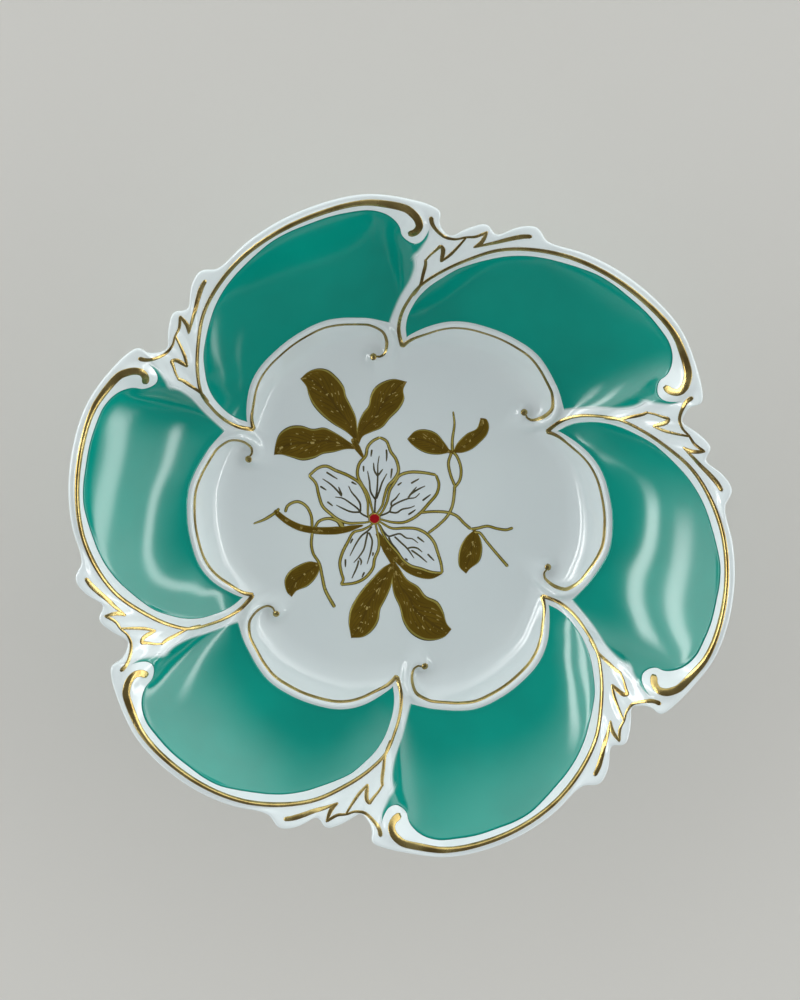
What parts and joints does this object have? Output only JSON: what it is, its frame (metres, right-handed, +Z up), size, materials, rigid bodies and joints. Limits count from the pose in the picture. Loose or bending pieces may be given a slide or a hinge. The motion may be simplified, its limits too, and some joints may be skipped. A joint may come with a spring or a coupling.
{
  "type": "porcelain dish",
  "caption": "Deep round porcelain dish with overlapping petal lobes, green enamel fields, gilded mouldings and a gilt flower in the well, on a foot ring.",
  "frame": {"origin": "on the dish's axis, on the surface that the foot ring stands on", "axes": "+Z up along the axis; +Y through a cusp of the well edge, towards the top of the picture; +X to its right"},
  "size_m": [0.2712, 0.2742, 0.0608],
  "materials": {
    "porcelain": "glossy white glaze",
    "green_enamel": "glossy fired enamel",
    "gilding": "fired gold, slightly worn",
    "red_enamel": "glossy fired enamel"
  },
  "bodies": {
    "root": {"porcelain_body": "porcelain", "enamel_panel_1": "green_enamel", "rim_gilding_1": "gilding", "well_gilding_1": "gilding", "scroll_eye_1": "gilding", "leaf_gilding_1": "gilding", "enamel_panel_2": "green_enamel", "rim_gilding_2": "gilding", "well_gilding_2": "gilding", "scroll_eye_2": "gilding", "leaf_gilding_2": "gilding", "enamel_panel_3": "green_enamel", "rim_gilding_3": "gilding", "well_gilding_3": "gilding", "scroll_eye_3": "gilding", "leaf_gilding_3": "gilding", "enamel_panel_4": "green_enamel", "rim_gilding_4": "gilding", "well_gilding_4": "gilding", "scroll_eye_4": "gilding", "leaf_gilding_4": "gilding", "enamel_panel_5": "green_enamel", "rim_gilding_5": "gilding", "well_gilding_5": "gilding", "scroll_eye_5": "gilding", "leaf_gilding_5": "gilding", "enamel_panel_6": "green_enamel", "rim_gilding_6": "gilding", "well_gilding_6": "gilding", "scroll_eye_6": "gilding", "leaf_gilding_6": "gilding", "flower_petal_1": "gilding", "flower_petal_2": "gilding", "flower_petal_3": "gilding", "flower_petal_4": "gilding", "flower_petal_5": "gilding", "flower_leaf_1": "gilding", "flower_leaf_2": "gilding", "flower_leaf_3": "gilding", "flower_leaf_4": "gilding", "flower_leaf_5": "gilding", "flower_leaf_6": "gilding", "flower_leaf_7": "gilding", "flower_leaf_8": "gilding", "flower_leaf_9": "gilding", "flower_stem_1": "gilding", "flower_stem_2": "gilding", "flower_stem_3": "gilding", "flower_stem_4": "gilding", "flower_stem_5": "gilding", "flower_stem_6": "gilding", "flower_centre": "red_enamel"}
  },
  "joints": []
}
